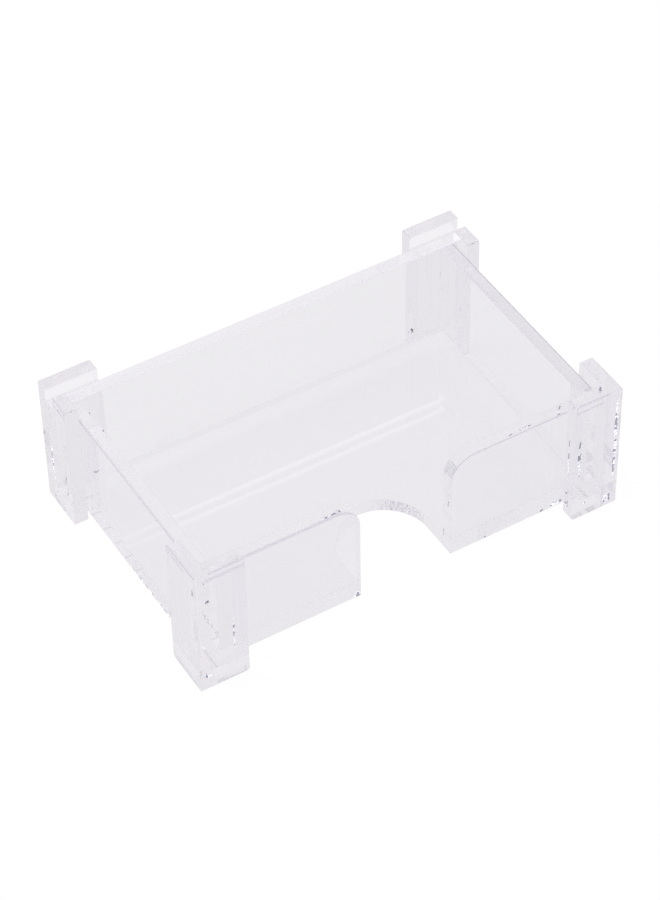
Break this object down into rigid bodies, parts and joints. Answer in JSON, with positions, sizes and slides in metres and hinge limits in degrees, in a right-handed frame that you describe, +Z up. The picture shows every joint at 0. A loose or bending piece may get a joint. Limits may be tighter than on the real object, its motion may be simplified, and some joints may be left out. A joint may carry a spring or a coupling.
{
  "type": "business card tray",
  "caption": "Open clear acrylic tray for a stack of business cards, with a finger cut-out in its front and floor, and corner posts that form feet and stacking ears.",
  "frame": {"origin": "middle of the tray's outline, on the surface that its feet stand on", "axes": "+X along the front from left to right, +Y from front to back, +Z up"},
  "size_m": [0.105, 0.0684, 0.0345],
  "materials": {
    "clear_sheet": "clear cast acrylic sheet, polished faces, cut edges",
    "clear_strip": "clear cast acrylic strip, cemented, cut edges"
  },
  "bodies": {
    "root": {"floor_plate": "clear_sheet", "back_wall": "clear_sheet", "left_wall": "clear_sheet", "right_wall": "clear_sheet", "front_left_panel": "clear_sheet", "front_right_panel": "clear_sheet", "front_left_front_strip": "clear_strip", "front_left_side_strip": "clear_strip", "front_right_front_strip": "clear_strip", "front_right_side_strip": "clear_strip", "rear_left_back_strip": "clear_strip", "rear_left_side_strip": "clear_strip", "rear_right_back_strip": "clear_strip", "rear_right_side_strip": "clear_strip"}
  },
  "joints": []
}
